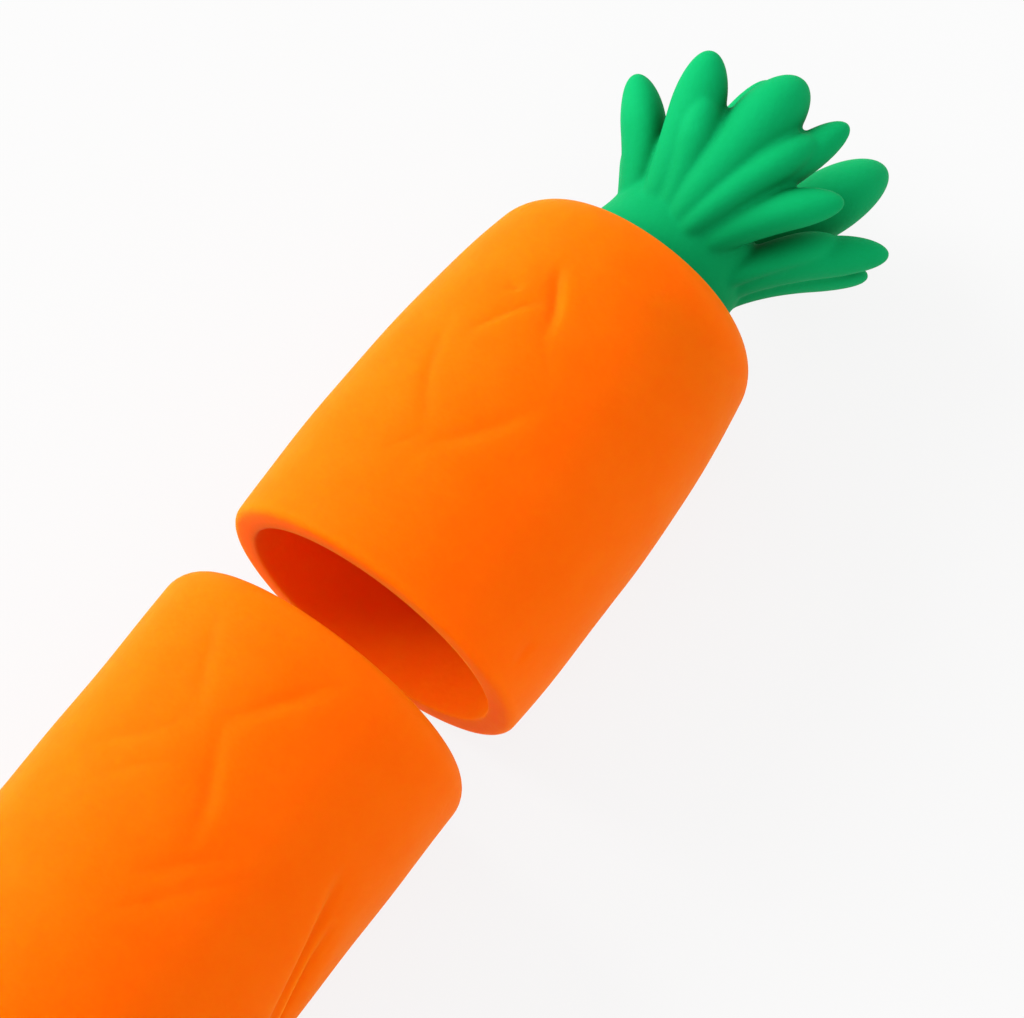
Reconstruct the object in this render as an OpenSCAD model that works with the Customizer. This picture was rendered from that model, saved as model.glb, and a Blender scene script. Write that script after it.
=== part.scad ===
// Carrot-shaped silicone sleeve for a round stylus.
// The sleeve lies along X. The origin is the centre of the body's mouth, +X leads out of the mouth
// to the cap and its leaves, and +Z is up. The cap is drawn a little way off the body.

/* [Stylus] */
// Diameter of the stylus barrel, and of the bores that grip it
stylus_d = 8.9; // [8.6:0.1:9.1]
// Length of the stylus from its tail to its point
stylus_len = 166; // [150:1:180]
// Length of the stylus's cone, from its point to the full barrel
stylus_cone = 24; // [20:1:28]
// Length of the point left bare beyond the nose
bare_tip = 9.5; // [8:0.5:12]

/* [Sleeve body] */
// Outside diameter at the top
body_d = 11.1; // [11:0.1:12]
// Outside diameter where the nose begins
tail_d = 10.7; // [10.5:0.1:11]
// Outside diameter of the nose's end
nose_d = 6.6; // [6.2:0.1:7.4]
// Diameter of the opening for the point
nib_hole_d = 4.8; // [4.4:0.1:5]
// Length of the opening for the point
nib_hole_len = 1.5; // [1:0.1:3]
// Rounding of the shoulder round the mouth
shoulder_r = 1.0; // [0.4:0.1:1]
// Rounding of the nose's end
nose_round = 0.6; // [0.2:0.1:0.6]
// How sharply the nose curves in: 1 is a plain cone
nose_curve = 1.6; // [1:0.1:2]

/* [Cap] */
// Length of the side, from the mouth to where the crown's rounding begins
cap_side_len = 13.1; // [13:0.1:16]
// Depth of the cap's bore
cap_bore_len = 13; // [11:0.1:13]
// Outside diameter at the mouth
cap_mouth_d = 10.7; // [10.5:0.1:11]
// Outside diameter at the belly
cap_belly_d = 10.95; // [10.7:0.05:11.4]
// Distance of the belly from the mouth
cap_belly_at = 3.75; // [3:0.25:6]
// Outside diameter where the crown's rounding begins
cap_crown_d = 9.6; // [9.4:0.1:10.4]
// Rounding of the crown's edge
crown_r = 1.7; // [1.5:0.1:1.8]
// Slope of the crown's top, in degrees
crown_dome = 4; // [1:1:12]
// How late the side draws in above the belly: 2 is a plain parabola
cap_curve = 2.5; // [2:0.1:3]
// Rounding of the mouth's outer edge
rim_r = 0.3; // [0.1:0.05:0.4]
// Rounding at the bottom of the bore
bore_end_r = 0.8; // [0.3:0.1:1.2]
// Gap between the cap and the body as they lie
cap_gap = 2.1; // [0.1:0.1:20]

/* [Leaf tuft] */
// Diameter of the tuft's stem and of its socket in the crown
stem_d = 5; // [4.6:0.1:5.2]
// Depth of the socket in the crown
socket_depth = 0.9; // [0.6:0.1:1]
// Diameter of the foot where it flares out on the crown
foot_d = 5.7; // [5.4:0.1:6]
// Diameter of the foot's waist
waist_d = 5.1; // [5:0.1:5.3]
// Height of the waist above the crown
waist_h = 2; // [1.4:0.1:2.2]
// Height of the dome over the waist, from which the leaves part
foot_dome = 1.4; // [1:0.1:1.6]
// How far the foot leans to one side at its waist
lean = 0.2; // [0:0.05:0.3]
// Scale of the leaves' length and reach
leaf_scale = 1; // [0.8:0.05:1.1]
// Scale of the leaves' width
leaf_fullness = 1; // [0.8:0.05:1.2]

/* [Creases] */
// Radius of a crease's rounded bottom
crease_r = 0.4; // [0.3:0.05:0.6]
// Scale of the creases' depth
crease_depth = 1; // [0.5:0.05:1.4]
// Spacing of the creases down the body, past the ones round its mouth
crease_pitch = 2.5; // [2.5:0.5:8]

/* [Hidden] */
bore_r = stylus_d / 2;
body_r = body_d / 2;
tail_r = tail_d / 2;
nose_r = nose_d / 2;
bore_len = stylus_len - cap_bore_len - stylus_cone;
body_len = stylus_len - cap_bore_len - bare_tip;
nose_len = body_len - bore_len;
stem_r = stem_d / 2;
foot_r = foot_d / 2;
waist_r = waist_d / 2;
// Angle at which the cap's side draws in where the crown's rounding begins
side_slope = atan((cap_belly_d - cap_crown_d) / 2 * cap_curve / (cap_side_len - cap_belly_at));
// The crown's rounding and the end of it, as [radius, distance from the mouth]
crown_centre = [cap_crown_d / 2, cap_side_len] - crown_r * [cos(side_slope), sin(side_slope)];
crown_edge = crown_centre + crown_r * [sin(crown_dome), cos(crown_dome)];
// Length of the cap from its mouth to the edge of the tuft's socket
cap_len = crown_edge[1] + (crown_edge[0] - stem_r) * tan(crown_dome);
crown_at = cap_gap + cap_len;

barrel_steps = 8;
nose_steps = 12;
side_steps = 14;
arc_steps = 8;
round_sides = 96;

orange = [1.00, 0.47, 0.07];
green = [0.05, 0.70, 0.39];

// Each crease: distance from the mouth, azimuth, slant from the tangent toward +X, and depth
CAP_CREASES = [
    [10.3, -6, -66, 0.24],
    [9.0, -16,  59, 0.10],
    [6.1, -23, -61, 0.14],
    [5.3,   1,  57, 0.20],
    [6.5, 120,  54, 0.18],
    [8.6, 150, -56, 0.16],
    [4.6, 205, -54, 0.18],
    [7.4, 250,  52, 0.18]
];
MOUTH_CREASES = [
    [2.9, -20, -53, 0.10],
    [6.0,   6, -55, 0.16],
    [3.0,   9,  50, 0.16],
    [5.9, -24,  46, 0.14],
    [6.8, -16,  48, 0.12],
    [8.3,  16,  42, 0.18],
    [8.9,  21,  48, 0.24],
    [7.9,  70, -66, 0.14],
    [8.7,  82, -66, 0.10],
    [4.0, 140,  50, 0.18],
    [7.0, 165, -54, 0.18],
    [4.5, 210, -52, 0.16],
    [8.0, 240,  48, 0.18],
    [5.0, 262,  50, 0.16]
];
// Further down the body each crease lies a fixed turn on from the last and leans the other way
first_crease = 12;
crease_turn = 137;
crease_leans = [50, -56];
body_crease_depth = 0.18;
BODY_CREASES = [for (i = [0 : floor((bore_len - first_crease) / crease_pitch)])
    [first_crease + i * crease_pitch, (i + 1) * crease_turn, crease_leans[i % 2], body_crease_depth]];
// The bar that presses a crease is longer than any crease
crease_bar_len = 10;
bar_sides = 24;

// Each leaf: azimuth at its foot, azimuth at its tip, reach from the axis, rise above the crown,
// width, how much it bends outward, or inward below 0, and its thickness as a share of its width.
// Azimuth 0 is up, and it grows toward -Y.
LEAVES = [
    [-58, -71, 4.40, 5.25, 1.75,  0.45, 0.8],
    [-24, -29, 4.20, 6.30, 1.80,  0.40, 0.9],
    [ -5, -20, 3.75, 5.05, 1.40,  0.55, 1.1],
    [  5,  13, 3.30, 7.35, 2.10, -0.10, 1.0],
    [ 13,  36, 3.75, 6.00, 1.35, -0.05, 1.2],
    [ 26,  44, 3.90, 7.10, 1.25,  0.00, 1.0],
    [ 31,  56, 4.95, 4.80, 1.30,  0.30, 1.0],
    [ 82,  96, 5.65, 5.65, 1.55,  0.30, 0.8],
    [102, 111, 5.60, 5.25, 1.25,  0.30, 0.8],
    [130, 127, 4.20, 9.05, 2.60,  0.35, 0.8],
    [148, 150, 4.80, 5.30, 1.90,  0.30, 0.8],
    [170, 165, 3.20, 7.70, 1.90,  0.20, 0.8],
    [190, 192, 4.30, 5.50, 2.00,  0.30, 0.8],
    [215, 215, 2.40, 9.30, 1.40,  0.20, 0.8],
    [238, 238, 4.40, 5.30, 1.90,  0.35, 0.8]
];
// Azimuth toward which the foot leans
lean_to = 104;
// Height of a leaf's foot above the crown, its distance from the axis and its width there
leaf_foot_h = 0.8;
leaf_foot_r = 2;
leaf_foot_width = 0.8;
// Where along the leaf its full width and its tip begin
leaf_full_at = 0.75;
leaf_tip_at = 0.7;
leaf_steps = 4;
leaf_sides = 16;
foot_sides = 48;
// How sharply the foot flares out on the crown: 1 is a plain cone
flare_curve = 2.4;
flare_steps = 5;
dome_steps = 6;
// Thickness of the slices that leaves and foot are drawn through, and size of a leaf's last one
leaf_slice = 0.02;
leaf_point = 0.12;

// Points on a quarter circle about a centre, as [radius, height] pairs
function arc(centre, r, from, to) =
    [for (i = [0 : arc_steps]) centre + r * [cos(from + (to - from) * i / arc_steps),
                                             sin(from + (to - from) * i / arc_steps)]];

// Outside radius of the body at a distance s down from its mouth
function barrel_radius(s) = body_r - (body_r - tail_r) * pow(s / bore_len, 2);
function nose_radius(s) = tail_r - (tail_r - nose_r) * pow((s - bore_len) / nose_len, nose_curve);

// Outside radius of the cap at a distance s up from its mouth
function cap_radius(s) =
    s < cap_belly_at
        ? cap_belly_d / 2 - (cap_belly_d - cap_mouth_d) / 2 * pow(1 - s / cap_belly_at, 2)
        : cap_belly_d / 2 - (cap_belly_d - cap_crown_d) / 2
            * pow((s - cap_belly_at) / (cap_side_len - cap_belly_at), cap_curve);

// Turns a profile of [radius, distance] pairs about the X axis
module turned(profile) {
    rotate([0, 90, 0]) rotate_extrude($fn = round_sides) polygon(profile);
}

// The bar that presses one crease into a side of radius r, at a place x along the axis
module crease_bar(crease, x, r) {
    rotate([crease[1], 0, 0])
        translate([x, 0, r - crease_depth * crease[3] + crease_r])
            rotate([90, 0, crease[2]])
                cylinder(h = crease_bar_len, r = crease_r, center = true, $fn = bar_sides);
}

// One long moulding: a thin tube with a rounded shoulder, a slow taper and a nose that opens for the point
module sleeve_body() {
    barrel = [for (i = [0 : barrel_steps])
        let (s = shoulder_r + (bore_len - shoulder_r) * i / barrel_steps) [barrel_radius(s), -s]];
    nose = [for (i = [1 : nose_steps])
        let (s = bore_len + (nose_len - nose_round) * i / nose_steps) [nose_radius(s), -s]];
    nose_edge_r = nose_radius(body_len - nose_round);
    color(orange) difference() {
        turned(concat(
            [[bore_r, 0]],
            arc([barrel_radius(shoulder_r) - shoulder_r, -shoulder_r], shoulder_r, 90, 0),
            barrel,
            nose,
            arc([nose_edge_r - nose_round, nose_round - body_len], nose_round, 0, -90),
            [[nib_hole_d / 2, -body_len],
             [nib_hole_d / 2, nib_hole_len - body_len],
             [bore_r, -bore_len]]
        ));
        for (crease = concat(MOUTH_CREASES, BODY_CREASES))
            crease_bar(crease, -crease[0], barrel_radius(crease[0]));
    }
}

// One short moulding: a barrel-shaped cup with a rounded crown and a blind socket for the tuft
module cap_shell() {
    side = [for (i = [0 : side_steps])
        let (s = rim_r + (cap_side_len - rim_r) * i / side_steps) [cap_radius(s), s]];
    color(orange) translate([cap_gap, 0, 0]) difference() {
        turned(concat(
            [[bore_r, 0]],
            arc([cap_radius(rim_r) - rim_r, rim_r], rim_r, -90, 0),
            side,
            arc(crown_centre, crown_r, side_slope, 90 - crown_dome),
            [[stem_r, cap_len],
             [stem_r, cap_len - socket_depth],
             [0, cap_len - socket_depth],
             [0, cap_bore_len]],
            arc([bore_r - bore_end_r, cap_bore_len - bore_end_r], bore_end_r, 90, 0)
        ));
        for (crease = CAP_CREASES) crease_bar(crease, crease[0], cap_radius(crease[0]));
    }
}

// A leaf's centre line, as [height above the crown, distance from the axis], from foot (0) to tip (1)
function leaf_foot(leaf) = [leaf_foot_h, leaf_foot_r + lean * cos(leaf[0] - lean_to)];
function leaf_tip(leaf) = leaf_scale * [leaf[3], leaf[2]];
function leaf_bow(leaf) =
    let (foot = leaf_foot(leaf), tip = leaf_tip(leaf))
        [(foot[0] + tip[0]) / 2, foot[1] + (0.5 - leaf[5]) * (tip[1] - foot[1])];
function leaf_line(leaf, u) =
    pow(1 - u, 2) * leaf_foot(leaf) + 2 * u * (1 - u) * leaf_bow(leaf) + u * u * leaf_tip(leaf);
function leaf_heading(leaf, u) =
    (1 - u) * (leaf_bow(leaf) - leaf_foot(leaf)) + u * (leaf_tip(leaf) - leaf_bow(leaf));

// Place and width of a leaf's section number i: even steps along the blade, then a round tip
function leaf_place(i) =
    i <= leaf_steps
        ? leaf_tip_at * i / leaf_steps
        : leaf_tip_at + (1 - leaf_tip_at) * sin(90 * (i - leaf_steps) / leaf_steps);
function leaf_width(leaf, i) =
    leaf_fullness
    * (leaf_foot_width + (leaf[4] - leaf_foot_width) * sin(90 * min(1, leaf_place(i) / leaf_full_at)))
    * (i <= leaf_steps ? 1 : max(leaf_point, cos(90 * (i - leaf_steps) / leaf_steps)));

// One thin oval slice of a leaf, square to its centre line
module leaf_section(leaf, i) {
    u = leaf_place(i);
    at = leaf_line(leaf, u);
    heading = leaf_heading(leaf, u);
    half_width = leaf_width(leaf, i) / 2;
    rotate([0, 0, 180 + leaf[0] + (leaf[1] - leaf[0]) * u])
        translate([at[1], 0, at[0]])
            rotate([0, atan2(heading[1], heading[0]), 0])
                scale([half_width * leaf[6], half_width, 1])
                    cylinder(h = leaf_slice, r = 1, center = true, $fn = leaf_sides);
}

// A finger-like leaf, lofted through its sections
module leaf(leaf) {
    for (i = [0 : 2 * leaf_steps - 1])
        hull() {
            leaf_section(leaf, i);
            leaf_section(leaf, i + 1);
        }
}

// The foot's outline as [height above the crown, radius]: a flare up to the waist, then a dome
FOOT_OUTLINE = concat(
    [for (i = [0 : flare_steps])
        let (share = i / flare_steps)
            [max(leaf_slice, waist_h * share), waist_r + (foot_r - waist_r) * pow(1 - share, flare_curve)]],
    [for (i = [1 : dome_steps - 1])
        let (angle = 90 * i / dome_steps) [waist_h + foot_dome * sin(angle), waist_r * cos(angle)]]
);

// One thin disc of the foot, which leans further to the side the higher it lies
module foot_disc(h, r) {
    rotate([0, 0, 180 + lean_to])
        translate([lean * min(1, h / waist_h), 0, h])
            cylinder(h = leaf_slice, r = r, center = true, $fn = foot_sides);
}

// The foot that the leaves part from, lofted through its discs
module foot() {
    for (i = [0 : len(FOOT_OUTLINE) - 2])
        hull() {
            foot_disc(FOOT_OUTLINE[i][0], FOOT_OUTLINE[i][1]);
            foot_disc(FOOT_OUTLINE[i + 1][0], FOOT_OUTLINE[i + 1][1]);
        }
}

// One moulding: a stem bonded in the crown's socket, a flared foot, and the leaves that part from it
module leaf_tuft() {
    color(green) translate([crown_at, 0, 0]) rotate([0, 90, 0]) union() {
        translate([0, 0, -socket_depth])
            cylinder(h = socket_depth + 2 * leaf_slice, r = stem_r, $fn = foot_sides);
        foot();
        for (row = LEAVES) leaf(row);
    }
}

sleeve_body();
cap_shell();
leaf_tuft();
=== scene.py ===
import math

import bpy
import numpy as np
from mathutils import Matrix, Vector


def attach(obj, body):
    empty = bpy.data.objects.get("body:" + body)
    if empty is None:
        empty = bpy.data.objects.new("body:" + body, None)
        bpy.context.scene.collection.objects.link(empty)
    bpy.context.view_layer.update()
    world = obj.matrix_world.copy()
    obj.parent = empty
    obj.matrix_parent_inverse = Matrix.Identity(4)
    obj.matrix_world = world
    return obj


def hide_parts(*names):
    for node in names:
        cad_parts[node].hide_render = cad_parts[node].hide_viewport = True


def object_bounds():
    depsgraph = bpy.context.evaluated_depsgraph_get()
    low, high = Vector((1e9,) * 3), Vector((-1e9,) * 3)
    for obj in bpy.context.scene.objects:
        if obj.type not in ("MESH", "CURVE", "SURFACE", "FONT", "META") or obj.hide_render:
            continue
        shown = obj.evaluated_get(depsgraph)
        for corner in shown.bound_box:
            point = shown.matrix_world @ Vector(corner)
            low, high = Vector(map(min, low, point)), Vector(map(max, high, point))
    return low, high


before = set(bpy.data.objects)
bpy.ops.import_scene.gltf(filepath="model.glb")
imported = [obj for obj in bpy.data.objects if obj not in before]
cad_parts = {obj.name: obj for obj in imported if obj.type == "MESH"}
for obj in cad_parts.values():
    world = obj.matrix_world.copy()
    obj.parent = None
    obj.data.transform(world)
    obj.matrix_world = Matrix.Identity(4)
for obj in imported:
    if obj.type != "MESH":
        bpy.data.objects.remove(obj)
cad_low, cad_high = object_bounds()
scene = bpy.context.scene
scene.view_settings.view_transform = "Standard"

# Camera
# A long lens looks down on the sleeve's upper end from its nose's side, about 67 degrees above the table.
# The sleeve crosses the picture to the top right and leaves it at the bottom left.
MM = 0.001
PICTURE_WIDTH_PX = 1024
FOCAL_PX = 3600
SENSOR_WIDTH = 36.0
AZIMUTH = math.radians(-53.8)
ELEVATION = math.radians(67.55)
AIM = Vector((7.23, -1.63, 1.69)) * MM
DISTANCE = 110 * MM
NEAREST_SEEN = MM
FURTHEST_SEEN = 10.0

back = Vector((
    math.sin(AZIMUTH) * math.cos(ELEVATION),
    -math.cos(AZIMUTH) * math.cos(ELEVATION),
    math.sin(ELEVATION),
))
camera = bpy.data.objects.new("camera", bpy.data.cameras.new("camera"))
camera.data.sensor_width = SENSOR_WIDTH
camera.data.lens = SENSOR_WIDTH * FOCAL_PX / PICTURE_WIDTH_PX
camera.data.clip_start = NEAREST_SEEN
camera.data.clip_end = FURTHEST_SEEN
camera.location = AIM + back * DISTANCE
camera.rotation_mode = "QUATERNION"
camera.rotation_quaternion = (-back).to_track_quat("-Z", "Y")
scene.collection.objects.link(camera)
scene.camera = camera

# Table and light
# A plain white acrylic sheet under the sleeve, which shines softly from within as a light table does. A large
# soft lamp stands low at the picture's upper left, and a white room lights the rest.
TABLE_SIZE = 8.0
TABLE_COLOUR = (0.8, 0.8, 0.8, 1.0)
TABLE_ROUGHNESS = 0.9
TABLE_GLOW = 0.94
GLOW_SHARE = 0.78
MORE_GLOW_WHEN_SEEN = 0.13
LAMP_TOWARD = Vector((-0.15, 0.87, 0.47)).normalized()
LAMP_DISTANCE = 1.5
LAMP_SIZE = 1.26
LAMP_POWER = 34
ROOM_COLOUR = (1.0, 1.0, 1.0, 1.0)
ROOM_LIGHT = 1.02


def linear(red, green, blue):
    """A colour given in ordinary 0 to 255 picture values, as the shader's linear values."""
    shares = [channel / 255 for channel in (red, green, blue)]
    return tuple(c / 12.92 if c <= 0.04045 else ((c + 0.055) / 1.055) ** 2.4 for c in shares) + (1.0,)


def new_material(name):
    """A new material, its node tree and its surface shader."""
    material = bpy.data.materials.new(name)
    material.use_nodes = True
    tree = material.node_tree
    return material, tree, tree.nodes["Principled BSDF"]


def mesh_object(name, points, faces):
    """A smooth-shaded mesh object."""
    mesh = bpy.data.meshes.new(name)
    mesh.from_pydata([tuple(p) for p in points], [], faces)
    mesh.validate()
    mesh.polygons.foreach_set("use_smooth", [True] * len(mesh.polygons))
    piece = bpy.data.objects.new(name, mesh)
    scene.collection.objects.link(piece)
    return piece


half = TABLE_SIZE / 2
table_z = cad_low.z
table = mesh_object(
    "table",
    [(-half, -half, table_z), (half, -half, table_z), (half, half, table_z), (-half, half, table_z)],
    [(0, 1, 2, 3)],
)
table_material, table_tree, table_shader = new_material("white_table")
table_shader.inputs["Base Color"].default_value = TABLE_COLOUR
table_shader.inputs["Roughness"].default_value = TABLE_ROUGHNESS
table_shader.inputs["Specular IOR Level"].default_value = 0.0
# What is seen of the table straight or in a reflection is nearer to plain white, and keeps a faint shadow
ray = table_tree.nodes.new("ShaderNodeLightPath")
seen = table_tree.nodes.new("ShaderNodeMath")
seen_or_through = table_tree.nodes.new("ShaderNodeMath")
seen_or_through.use_clamp = True
share = table_tree.nodes.new("ShaderNodeMath")
share.operation = "MULTIPLY_ADD"
share.inputs[1].default_value = MORE_GLOW_WHEN_SEEN
share.inputs[2].default_value = GLOW_SHARE
glow = table_tree.nodes.new("ShaderNodeEmission")
glow.inputs["Strength"].default_value = TABLE_GLOW
table_mix = table_tree.nodes.new("ShaderNodeMixShader")
table_tree.links.new(ray.outputs["Is Camera Ray"], seen.inputs[0])
table_tree.links.new(ray.outputs["Is Glossy Ray"], seen.inputs[1])
table_tree.links.new(seen.outputs["Value"], seen_or_through.inputs[0])
table_tree.links.new(ray.outputs["Is Transmission Ray"], seen_or_through.inputs[1])
table_tree.links.new(seen_or_through.outputs["Value"], share.inputs[0])
table_tree.links.new(share.outputs["Value"], table_mix.inputs["Fac"])
table_tree.links.new(table_shader.outputs["BSDF"], table_mix.inputs[1])
table_tree.links.new(glow.outputs["Emission"], table_mix.inputs[2])
table_tree.links.new(table_mix.outputs["Shader"], table_tree.nodes["Material Output"].inputs["Surface"])
table.data.materials.append(table_material)

lamp_light = bpy.data.lights.new("lamp", "AREA")
lamp_light.shape = "DISK"
lamp_light.size = LAMP_SIZE
lamp_light.energy = LAMP_POWER
lamp = bpy.data.objects.new("lamp", lamp_light)
lamp.location = LAMP_TOWARD * LAMP_DISTANCE
lamp.rotation_mode = "QUATERNION"
lamp.rotation_quaternion = (-LAMP_TOWARD).to_track_quat("-Z", "Y")
scene.collection.objects.link(lamp)

room = bpy.data.worlds.new("room")
room.use_nodes = True
room_background = room.node_tree.nodes["Background"]
room_background.inputs["Color"].default_value = ROOM_COLOUR
room_background.inputs["Strength"].default_value = ROOM_LIGHT
scene.world = room

# Sleeve body
# The long orange tube is one moulding of soft matte silicone, open at the top, with a rounded shoulder.
# Shallow creases are pressed into its side like those of a carrot's skin. It is pulled over the barrel of
# the stylus, and grips it.
BORE_RADIUS = 4.45
BODY_RADIUS = 5.55
TAIL_RADIUS = 5.35
NOSE_RADIUS = 3.3
BODY_LENGTH = 143.5
BORE_LENGTH = 129.0
NOSE_CURVE = 1.6
SHOULDER_ROUND = 1.0
NOSE_ROUND = 0.6
NIB_HOLE_RADIUS = 2.4
NIB_HOLE_LENGTH = 1.5
EDGE_ROUND = 0.08
ROUND_STEPS = 400
FINE_LENGTH = 14.0
FINE_STEP = 0.1
BARREL_STEP = 0.22
BORE_STEP = 4.0
BORE_STRAIGHT_FROM = 2.0
WAVINESS = 0.03
ORANGE = linear(255, 108, 8)
ORANGE_DEEP = linear(252, 95, 3)
ORANGE_GLOSS = linear(255, 150, 40)
ORANGE_GLOW_SHARE = 0.8
ORANGE_GLOW_DEPTH = (1.8, 0.8, 0.05)

# Creases near the mouth, one row each: distance from the mouth, azimuth from the top toward -Y, slant from
# the tangent toward +X, length, depth, and half-width, negative where the gentler side is the one toward -X
MOUTH_CREASES = [
    (2.9, -20, -53, 3.8, 0.08, -0.26),
    (6.05, 6.5, -70, 4.2, 0.13, -0.26),
    (2.85, 8, 50, 4.4, 0.13, 0.26),
    (5.9, -24, 46, 3.8, 0.08, 0.24),
    (6.8, -16, 48, 3.6, 0.06, 0.22),
    (8.3, 16, 44, 4.2, 0.09, 0.24),
    (8.9, 21, 48, 5.2, 0.08, 0.24),
    (7.9, 70, -66, 6.4, 0.36, 0.26),
    (8.7, 82, -66, 5.4, 0.26, 0.16),
    (4.0, 140, 50, 4.4, 0.16, 0.26),
    (7.0, 165, -54, 4.8, 0.16, -0.26),
    (4.5, 210, -52, 4.4, 0.14, -0.26),
    (8.0, 240, 48, 4.4, 0.16, 0.26),
    (5.0, 262, 50, 4.2, 0.14, 0.26),
]
# Further down, each crease lies a fixed turn on from the last and leans the other way
FIRST_CREASE = 12.0
CREASE_PITCH = 2.5
CREASE_TURN = 137
CREASE_LEANS = (50, -56)
CREASE_LENGTHS = (4.4, 5.1)
CREASE_DEPTH = 0.15
CREASE_HALF_WIDTH = 0.26
# A crease wanders and bows along its length, fades out at its ends, and has a steep side and a gentle one
CREASE_WANDER = 0.5
CREASE_WANDER_RATE = 2.2
CREASE_BOW = 0.4
CREASE_FADE = 1.2
STEEP_SHARE = 0.65
GENTLE_AT = 1.2
GENTLE_WIDTH = 2.2
# Waves of the skin: turns along it in radians per millimetre, whole waves around it, and where each starts
SKIN_WAVES = [(0.55, 2, 0.3), (0.9, -3, 1.1), (1.5, 5, 2.0), (0.35, 1, 4.0)]
WAVE_FADE_ROWS = 12


def creased(places, creases):
    """How deep creases press in at each place (distance along +X, azimuth in radians, radius)."""
    along, azimuth, radius = places
    depth_sum = np.zeros_like(along)
    for at, turn, slant, length, depth, width in creases:
        around = (azimuth - math.radians(turn) + math.pi) % (2 * math.pi) - math.pi
        tangent, axial = around * radius, along - at
        cos_slant, sin_slant = math.cos(math.radians(slant)), math.sin(math.radians(slant))
        u = (tangent * cos_slant + axial * sin_slant) / (length / 2)
        v = (axial * cos_slant - tangent * sin_slant) / width
        v = v + CREASE_WANDER * np.sin(CREASE_WANDER_RATE * u + at) - CREASE_BOW * u * u
        fade = np.clip(1 - u * u, 0, 1) ** CREASE_FADE
        gentle_side = np.exp(-((v - GENTLE_AT) / GENTLE_WIDTH) ** 2)
        groove = STEEP_SHARE * np.exp(-v * v) + (1 - STEEP_SHARE) * gentle_side
        depth_sum += depth * fade * groove
    return depth_sum


def unevenness(along, azimuth):
    """The soft waviness that a thin moulding has, from 1 to -1."""
    return sum(np.sin(k * along + n * azimuth + p) for k, n, p in SKIN_WAVES) / len(SKIN_WAVES)


def quarter(centre, radius, start, end, steps=8):
    """Points on an arc of a profile of (distance along X, radius) pairs."""
    angles = [math.radians(start + (end - start) * i / steps) for i in range(steps + 1)]
    return [(centre[0] + radius * math.cos(a), centre[1] + radius * math.sin(a)) for a in angles]


def turned(name, profile, creases, outside, closed):
    """A mesh turned about the X axis from (distance, radius) pairs in millimetres. Points of the profile
    numbered from outside[0] to outside[1] are the outer skin, which creases and waviness press in."""
    profile = np.array(profile)
    azimuth = np.linspace(0, 2 * math.pi, ROUND_STEPS, endpoint=False)
    along = np.repeat(profile[:, 0:1], ROUND_STEPS, axis=1)
    radius = np.repeat(profile[:, 1:2], ROUND_STEPS, axis=1)
    turn = np.repeat(azimuth[None, :], len(profile), axis=0)
    first, last = outside
    skin = slice(first, last)
    row = np.arange(last - first)
    fade = np.clip(np.minimum(row, row[::-1]) / WAVE_FADE_ROWS, 0, 1)[:, None]
    places = (along[skin], turn[skin], radius[skin])
    radius[skin] -= creased(places, creases) + fade * WAVINESS * unevenness(along[skin], turn[skin])
    points = np.stack([along, -radius * np.sin(turn), radius * np.cos(turn)], axis=-1).reshape(-1, 3) * MM
    rows = len(profile)
    faces = []
    for i in range(rows if closed else rows - 1):
        a, b = i * ROUND_STEPS, (i + 1) % rows * ROUND_STEPS
        for j in range(ROUND_STEPS):
            k = (j + 1) % ROUND_STEPS
            faces.append((a + j, b + j, b + k, a + k))
    points = list(points)
    if not closed:
        for ring, place in ((0, profile[0][0]), (rows - 1, profile[-1][0])):
            centre = len(points)
            points.append((place * MM, 0, 0))
            for j in range(ROUND_STEPS):
                k = (j + 1) % ROUND_STEPS
                pair = (ring * ROUND_STEPS + j, ring * ROUND_STEPS + k)
                faces.append((centre, *pair) if ring == 0 else (centre, *reversed(pair)))
    return mesh_object(name, points, faces)


BLOTCHES_PER_METRE = 600
BLOTCH_DETAIL = 6
BLOTCH_ROUGHNESS = 0.65
LEAST_ROUGHNESS = 0.50
MOST_ROUGHNESS = 0.64
GRAINS_PER_METRE = 4000
GRAIN_DETAIL = 4
GRAIN_STRENGTH = 0.3
GRAIN_HEIGHT = 0.05
SILICONE_IOR = 1.41
SILICONE_GLOSS = 0.03


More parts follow.
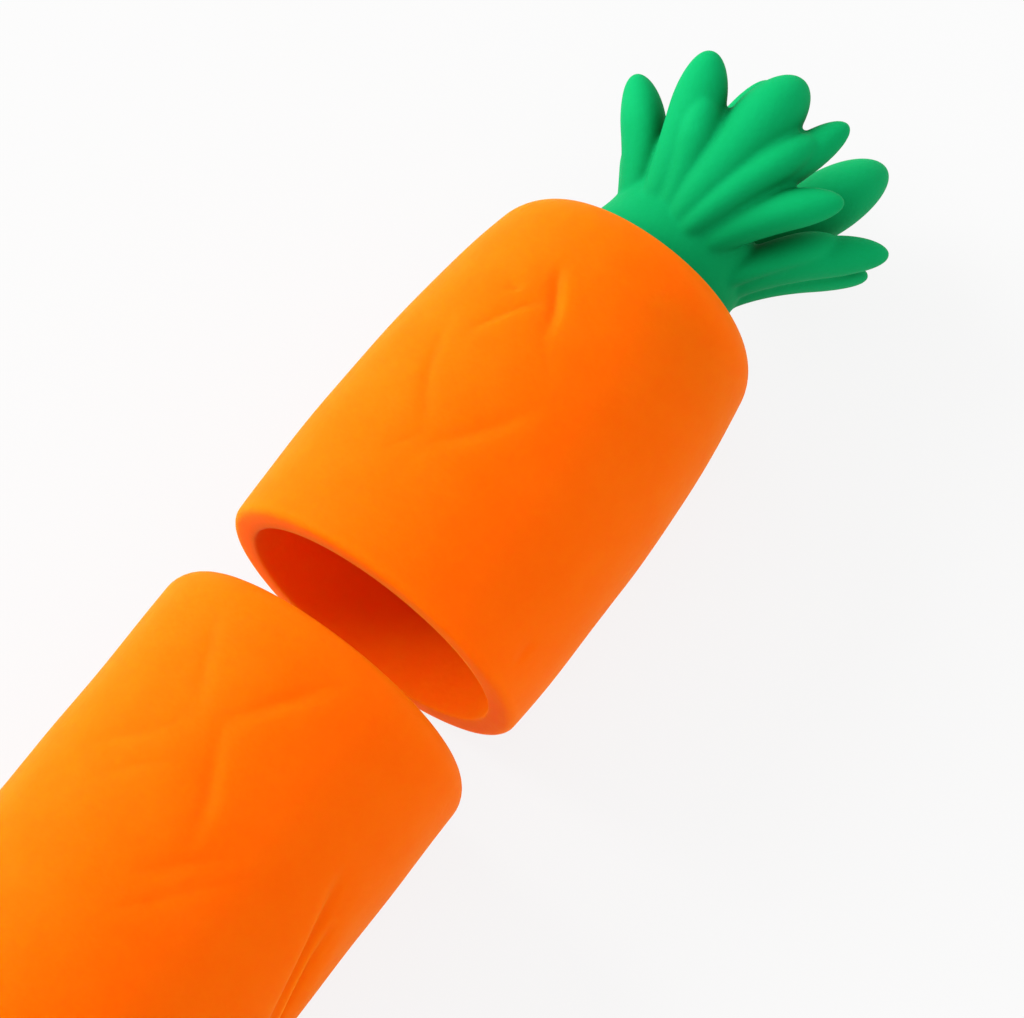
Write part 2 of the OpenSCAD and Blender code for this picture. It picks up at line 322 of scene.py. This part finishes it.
def silicone(name, light_colour, deep_colour, gloss_colour, glow_share, glow_depth):
    """Matte soft-touch silicone: a fine moulded grain, faint blotches of colour, and light that goes a
    little way in."""
    material, tree, shader = new_material(name)
    place = tree.nodes.new("ShaderNodeTexCoord")
    blotch = tree.nodes.new("ShaderNodeTexNoise")
    blotch.inputs["Scale"].default_value = BLOTCHES_PER_METRE
    blotch.inputs["Detail"].default_value = BLOTCH_DETAIL
    blotch.inputs["Roughness"].default_value = BLOTCH_ROUGHNESS
    tree.links.new(place.outputs["Object"], blotch.inputs["Vector"])
    tint = tree.nodes.new("ShaderNodeMix")
    tint.data_type = "RGBA"
    tint.inputs["A"].default_value = light_colour
    tint.inputs["B"].default_value = deep_colour
    tree.links.new(blotch.outputs["Fac"], tint.inputs["Factor"])
    tree.links.new(tint.outputs["Result"], shader.inputs["Base Color"])
    gloss = tree.nodes.new("ShaderNodeMapRange")
    gloss.inputs["To Min"].default_value = LEAST_ROUGHNESS
    gloss.inputs["To Max"].default_value = MOST_ROUGHNESS
    tree.links.new(blotch.outputs["Fac"], gloss.inputs["Value"])
    tree.links.new(gloss.outputs["Result"], shader.inputs["Roughness"])
    grain = tree.nodes.new("ShaderNodeTexNoise")
    grain.inputs["Scale"].default_value = GRAINS_PER_METRE
    grain.inputs["Detail"].default_value = GRAIN_DETAIL
    tree.links.new(place.outputs["Object"], grain.inputs["Vector"])
    bump = tree.nodes.new("ShaderNodeBump")
    bump.inputs["Strength"].default_value = GRAIN_STRENGTH
    bump.inputs["Distance"].default_value = GRAIN_HEIGHT * MM
    tree.links.new(grain.outputs["Fac"], bump.inputs["Height"])
    tree.links.new(bump.outputs["Normal"], shader.inputs["Normal"])
    shader.inputs["IOR"].default_value = SILICONE_IOR
    shader.inputs["Specular IOR Level"].default_value = SILICONE_GLOSS
    shader.inputs["Specular Tint"].default_value = gloss_colour
    shader.inputs["Subsurface Weight"].default_value = glow_share
    shader.inputs["Subsurface Radius"].default_value = glow_depth
    shader.inputs["Subsurface Scale"].default_value = MM
    return material


def spaced(start, end, step):
    """Even places from start to end, both counted, about a step apart."""
    count = max(2, round(abs(end - start) / step) + 1)
    return [start + (end - start) * i / (count - 1) for i in range(count)]


def barrel_radius(s):
    """The body's radius at a distance from its mouth, as far as the bore goes."""
    return BODY_RADIUS - (BODY_RADIUS - TAIL_RADIUS) * (s / BORE_LENGTH) ** 2


def nose_radius(s):
    """The body's radius at a distance from its mouth, past the bore."""
    share = (s - BORE_LENGTH) / (BODY_LENGTH - BORE_LENGTH)
    return TAIL_RADIUS - (TAIL_RADIUS - NOSE_RADIUS) * share ** NOSE_CURVE


shoulder_centre = (-SHOULDER_ROUND, barrel_radius(SHOULDER_ROUND) - SHOULDER_ROUND)
nose_edge = nose_radius(BODY_LENGTH - NOSE_ROUND)
nose_centre = (NOSE_ROUND - BODY_LENGTH, nose_edge - NOSE_ROUND)
outer = quarter(shoulder_centre, SHOULDER_ROUND, 0, 90, 10)
outer += [(-s, barrel_radius(s)) for s in spaced(SHOULDER_ROUND, FINE_LENGTH, FINE_STEP)[1:]]
outer += [(-s, barrel_radius(s)) for s in spaced(FINE_LENGTH, BORE_LENGTH, BARREL_STEP)[1:]]
outer += [(-s, nose_radius(s)) for s in spaced(BORE_LENGTH, BODY_LENGTH - NOSE_ROUND, BARREL_STEP)[1:]]
outer += quarter(nose_centre, NOSE_ROUND, 90, 180)[1:]
inner = quarter((EDGE_ROUND - BODY_LENGTH, NIB_HOLE_RADIUS + EDGE_ROUND), EDGE_ROUND, 180, 270, 3)
inner += [(NIB_HOLE_LENGTH - BODY_LENGTH, NIB_HOLE_RADIUS)]
inner += [(-s, BORE_RADIUS) for s in spaced(BORE_LENGTH, BORE_STRAIGHT_FROM, BORE_STEP)]
inner += quarter((-EDGE_ROUND, BORE_RADIUS + EDGE_ROUND), EDGE_ROUND, 270, 360, 3)
body_creases = [(-s, turn, slant, length, depth, width)
                for s, turn, slant, length, depth, width in MOUTH_CREASES]
for i in range(int((BORE_LENGTH - FIRST_CREASE) / CREASE_PITCH) + 1):
    lean = i % 2
    place = -(FIRST_CREASE + i * CREASE_PITCH)
    turn = (i + 1) * CREASE_TURN
    slant, length = CREASE_LEANS[lean], CREASE_LENGTHS[lean]
    body_creases.append((place, turn, slant, length, CREASE_DEPTH, CREASE_HALF_WIDTH))
sleeve = turned("sleeve_skin", outer + inner, body_creases, (0, len(outer)), closed=True)
orange_silicone = silicone(
    "orange_silicone", ORANGE, ORANGE_DEEP, ORANGE_GLOSS, ORANGE_GLOW_SHARE, ORANGE_GLOW_DEPTH
)
sleeve.data.materials.append(orange_silicone)
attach(sleeve, "sleeve")
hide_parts("sleeve_body")

# Cap
# The short orange cap is one moulding of the same silicone: a barrel-shaped cup with a rounded crown and a
# plain bore. It pushes over the stylus's tail, and here it is drawn a little way off the body.
CAP_GAP = 2.1
CAP_SIDE = 13.1
CAP_BORE_LENGTH = 13.0
CAP_MOUTH_RADIUS = 5.35
CAP_BELLY_RADIUS = 5.475
CAP_BELLY_AT = 3.75
CAP_CROWN_RADIUS = 4.8
CAP_CURVE = 2.5
CROWN_ROUND = 1.7
CROWN_DOME = 4
RIM_ROUND = 0.3
BORE_END_ROUND = 0.8
STEM_RADIUS = 2.5
SOCKET_DEPTH = 0.9
CENTRE_HOLE = 0.5
CAP_BORE_STEP = 0.5
CAP_BORE_STRAIGHT_FROM = 0.5
# Rows as for the body's creases, but measured from the cap's own mouth toward its crown
CAP_CREASES = [
    (10.3, -6, -66, 2.9, 0.26, -0.2),
    (9.95, -21, 32, 0.6, 0.08, 0.1),
    (8.7, 4, -42, 2.2, 0.06, -0.2),
    (9.0, -16.3, 59, 3.0, 0.10, 0.16),
    (6.1, -23, -61, 4.4, 0.09, 0.22),
    (5.3, 1, 57, 5.0, 0.11, 0.28),
    (3.8, -15, 66, 1.8, 0.06, 0.20),
    (1.4, 64, 70, 1.0, 0.08, 0.16),
    (6.5, 120, 54, 4.6, 0.16, 0.26),
    (8.6, 150, -56, 4.4, 0.14, -0.26),
    (4.6, 205, -54, 4.6, 0.16, -0.26),
    (7.4, 250, 52, 4.6, 0.16, 0.26),
]


def cap_radius(s):
    """The cap's outer radius at a distance from its mouth, up to the rounding of the crown."""
    if s < CAP_BELLY_AT:
        return CAP_BELLY_RADIUS - (CAP_BELLY_RADIUS - CAP_MOUTH_RADIUS) * (1 - s / CAP_BELLY_AT) ** 2
    share = (s - CAP_BELLY_AT) / (CAP_SIDE - CAP_BELLY_AT)
    return CAP_BELLY_RADIUS - (CAP_BELLY_RADIUS - CAP_CROWN_RADIUS) * share ** CAP_CURVE


side_slope = math.atan((CAP_BELLY_RADIUS - CAP_CROWN_RADIUS) * CAP_CURVE / (CAP_SIDE - CAP_BELLY_AT))
crown_centre = (
    CAP_SIDE - CROWN_ROUND * math.sin(side_slope),
    CAP_CROWN_RADIUS - CROWN_ROUND * math.cos(side_slope),
)
crown_arc = quarter(crown_centre, CROWN_ROUND, 90 - math.degrees(side_slope), CROWN_DOME, 40)
crown_edge = crown_arc[-1]
CAP_LENGTH = crown_edge[0] + (crown_edge[1] - STEM_RADIUS) * math.tan(math.radians(CROWN_DOME))
cap_outer = quarter((RIM_ROUND, cap_radius(RIM_ROUND) - RIM_ROUND), RIM_ROUND, 180, 90, 6)
cap_outer += [(s, cap_radius(s)) for s in spaced(RIM_ROUND, CAP_SIDE, FINE_STEP)[1:]]
cap_outer += crown_arc[1:] + [(CAP_LENGTH, STEM_RADIUS)]
cap_socket = [(CAP_LENGTH - SOCKET_DEPTH, STEM_RADIUS), (CAP_LENGTH - SOCKET_DEPTH, CENTRE_HOLE)]
cap_inner = [(CAP_BORE_LENGTH, CENTRE_HOLE)]
bore_end = CAP_BORE_LENGTH - BORE_END_ROUND
cap_inner += quarter((bore_end, BORE_RADIUS - BORE_END_ROUND), BORE_END_ROUND, 0, 90)
cap_inner += [(s, BORE_RADIUS) for s in spaced(bore_end, CAP_BORE_STRAIGHT_FROM, CAP_BORE_STEP)[1:]]
cap_inner += quarter((EDGE_ROUND, BORE_RADIUS + EDGE_ROUND), EDGE_ROUND, 270, 180, 3)
cap_profile = [(CAP_GAP + s, r) for s, r in cap_inner + cap_outer + cap_socket]
cap_creases = [(CAP_GAP + s, turn, slant, length, depth, width)
               for s, turn, slant, length, depth, width in CAP_CREASES]
skin_range = (len(cap_inner), len(cap_inner) + len(cap_outer))
cap = turned("cap_skin", cap_profile, cap_creases, skin_range, closed=False)
cap.data.materials.append(orange_silicone)
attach(cap, "cap")
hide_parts("cap_shell")

# Leaf tuft
# The green tuft is one moulding of silicone: finger-like leaves that part from a flared foot, on a stem
# bonded in the socket in the cap's crown.
GREEN = linear(12, 156, 92)
GREEN_DEEP = linear(8, 148, 84)
# Painted shade: this dark green is mixed into the leaves' colour in the hollows between them
GREEN_PAINTED_SHADE = linear(1, 60, 8)
GREEN_GLOSS = linear(90, 255, 170)
GREEN_GLOW_SHARE = 0.12
GREEN_GLOW_DEPTH = (0.1, 0.4, 0.2)
# How far, in millimetres, and with how many rays the painted shade looks for nearby leaves
PAINTED_SHADE_REACH = 4.0
PAINTED_SHADE_SAMPLES = 8
# The foot's outline, as pairs of height above the crown and radius
FOOT_OUTLINE = [(0, 2.84), (0.15, 2.77), (0.4, 2.71), (0.8, 2.64), (1.3, 2.58), (1.8, 2.57), (2.2, 2.55),
                (2.5, 2.45), (2.8, 2.2), (3.05, 1.8), (3.25, 1.2), (3.35, 0.1)]
# The foot leans this far to one side, by this height, toward this azimuth
LEAN = 0.2
LEAN_HEIGHT = 2.0
LEAN_TO = 104
LEAF_FOOT_HEIGHT = 0.8
LEAF_FOOT_REACH = 2.0
LEAF_FOOT_WIDTH = 0.8
LEAF_FULL_AT = 0.75
LEAF_TIP_AT = 0.7
LEAF_STEPS = 14
LEAF_SIDES = 28
FOOT_SIDES = 64
VOXEL = 0.055
WEB_ROUND = 0.08
LEAF_SWELL = 0.03
SOFTENING = 0.5
SOFTENING_PASSES = (4, 4, 5)
STEM_TOP = -0.01
# Each leaf: azimuth at its foot and at its tip, reach from the axis, rise above the crown, width, bend, and
# thickness as a share of the width. The eighth is a slender fold in the hollow between its neighbours.
LEAVES = [
    (-58, -71, 4.4, 5.25, 1.75, 0.45, 0.8),
    (-24, -29, 4.2, 6.3, 1.8, 0.4, 0.9),
    (-5, -20, 3.75, 5.05, 1.4, 0.55, 1.1),
    (5, 13, 3.3, 7.35, 2.1, -0.1, 1.0),
    (13, 36, 3.75, 6, 1.35, -0.05, 1.2),
    (26, 44, 3.9, 7.1, 1.25, 0, 1.0),
    (31, 56, 4.95, 4.8, 1.3, 0.3, 1.0),
    (64, 86, 4.3, 4.7, 0.95, 0.15, 1.1),
    (82, 96, 5.65, 5.65, 1.55, 0.3, 0.8),
    (102, 111, 5.6, 5.25, 1.25, 0.3, 0.8),
    (130, 127, 4.2, 9.05, 2.6, 0.35, 0.8),
    (148, 150, 4.8, 5.3, 1.9, 0.3, 0.8),
    (170, 165, 3.2, 7.7, 1.9, 0.2, 0.8),
    (190, 192, 4.3, 5.5, 2, 0.3, 0.8),
    (215, 215, 2.4, 9.3, 1.4, 0.2, 0.8),
    (238, 238, 4.4, 5.3, 1.9, 0.35, 0.8),
]


def loft(rings, points, faces):
    """Adds a closed skin through rings of equal numbers of points."""
    base, sides = len(points), len(rings[0])
    for ring in rings:
        points.extend(ring)
    for i in range(len(rings) - 1):
        for j in range(sides):
            k = (j + 1) % sides
            a, b = base + i * sides, base + (i + 1) * sides
            faces.append((a + j, a + k, b + k, b + j))
    faces.append(tuple(base + j for j in reversed(range(sides))))
    faces.append(tuple(base + (len(rings) - 1) * sides + j for j in range(sides)))


def outward(turn):
    """The direction away from the axis at an azimuth in degrees, 0 being up and 90 toward -Y."""
    return Vector((0, -math.sin(math.radians(turn)), math.cos(math.radians(turn))))


def leaf_rings(leaf):
    """Oval sections along one leaf, in millimetres from the centre of the crown's top."""
    foot_turn, tip_turn, reach, rise, width, bend, thickness = leaf
    foot = Vector((LEAF_FOOT_HEIGHT, LEAF_FOOT_REACH + LEAN * math.cos(math.radians(foot_turn - LEAN_TO))))
    tip = Vector((rise, reach))
    bow = Vector(((foot.x + tip.x) / 2, foot.y + (0.5 - bend) * (tip.y - foot.y)))
    rings = []
    for i in range(2 * LEAF_STEPS):
        tip_angle = math.pi / 2 * max(0, i - LEAF_STEPS) / LEAF_STEPS
        u = LEAF_TIP_AT * min(1, i / LEAF_STEPS) + (1 - LEAF_TIP_AT) * math.sin(tip_angle)
        at = (1 - u) ** 2 * foot + 2 * u * (1 - u) * bow + u * u * tip
        heading = ((1 - u) * (bow - foot) + u * (tip - bow)).normalized()
        fullness = math.sin(math.pi / 2 * min(1, u / LEAF_FULL_AT))
        half_width = (LEAF_FOOT_WIDTH + (width - LEAF_FOOT_WIDTH) * fullness) / 2 * math.cos(tip_angle)
        turn = foot_turn + (tip_turn - foot_turn) * u
        axis = Vector((1, 0, 0))
        middle = at.x * axis + at.y * outward(turn)
        across = heading.x * outward(turn) - heading.y * axis
        sideways = outward(turn + 90)
        ring = []
        for j in range(LEAF_SIDES):
            angle = 2 * math.pi * j / LEAF_SIDES
            ring.append(middle + half_width * math.cos(angle) * sideways
                        + half_width * thickness * math.sin(angle) * across)
        rings.append(ring)
    return rings


def foot_ring(height, radius):
    """One ring of the foot, which leans further to the side the higher it lies."""
    middle = height * Vector((1, 0, 0)) + LEAN * min(1, max(0, height / LEAN_HEIGHT)) * outward(LEAN_TO)
    return [middle + radius * outward(360 * j / FOOT_SIDES) for j in range(FOOT_SIDES)]


tuft_points, tuft_faces = [], []
foot_outline = [(-SOCKET_DEPTH, STEM_RADIUS), (STEM_TOP, STEM_RADIUS)] + FOOT_OUTLINE
loft([foot_ring(height, radius) for height, radius in foot_outline], tuft_points, tuft_faces)
for leaf in LEAVES:
    loft(leaf_rings(leaf), tuft_points, tuft_faces)
tuft = mesh_object("leaf_tuft_skin", tuft_points, tuft_faces)
# The leaves run into each other in soft hollows: the skin is swelled, joined, and drawn back in
for swell, passes in zip((WEB_ROUND, LEAF_SWELL - WEB_ROUND, 0), SOFTENING_PASSES):
    join = tuft.modifiers.new("join", "REMESH")
    join.mode = "VOXEL"
    join.voxel_size = VOXEL
    soften = tuft.modifiers.new("soften", "SMOOTH")
    soften.factor = SOFTENING
    soften.iterations = passes
    if swell:
        move = tuft.modifiers.new("swell", "DISPLACE")
        move.direction = "NORMAL"
        move.mid_level = 0
        move.strength = swell
one_skin = bpy.data.meshes.new_from_object(tuft.evaluated_get(bpy.context.evaluated_depsgraph_get()))
tuft.modifiers.clear()
crown_top = Vector((CAP_GAP * MM + CAP_LENGTH * MM, 0, 0))
one_skin.transform(Matrix.Translation(crown_top) @ Matrix.Scale(MM, 4))
tuft.data = one_skin
tuft.data.polygons.foreach_set("use_smooth", [True] * len(tuft.data.polygons))
green_silicone = silicone(
    "green_silicone", GREEN, GREEN_DEEP, GREEN_GLOSS, GREEN_GLOW_SHARE, GREEN_GLOW_DEPTH
)
# Painted shade: the leaves' colour is darkened toward a deep green in the hollows between them, where ambient
# occlusion finds nearby leaves
green_tree = green_silicone.node_tree
green_shader = green_tree.nodes["Principled BSDF"]
blotched = green_shader.inputs["Base Color"].links[0].from_socket
painted_shade_openness = green_tree.nodes.new("ShaderNodeAmbientOcclusion")
painted_shade_openness.samples = PAINTED_SHADE_SAMPLES
painted_shade_openness.inputs["Distance"].default_value = PAINTED_SHADE_REACH * MM
paint_shade = green_tree.nodes.new("ShaderNodeMix")
paint_shade.data_type = "RGBA"
paint_shade.inputs["A"].default_value = GREEN_PAINTED_SHADE
green_tree.links.new(painted_shade_openness.outputs["AO"], paint_shade.inputs["Factor"])
green_tree.links.new(blotched, paint_shade.inputs["B"])
green_tree.links.new(paint_shade.outputs["Result"], green_shader.inputs["Base Color"])
tuft.data.materials.append(green_silicone)
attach(tuft, "cap")
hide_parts("leaf_tuft")
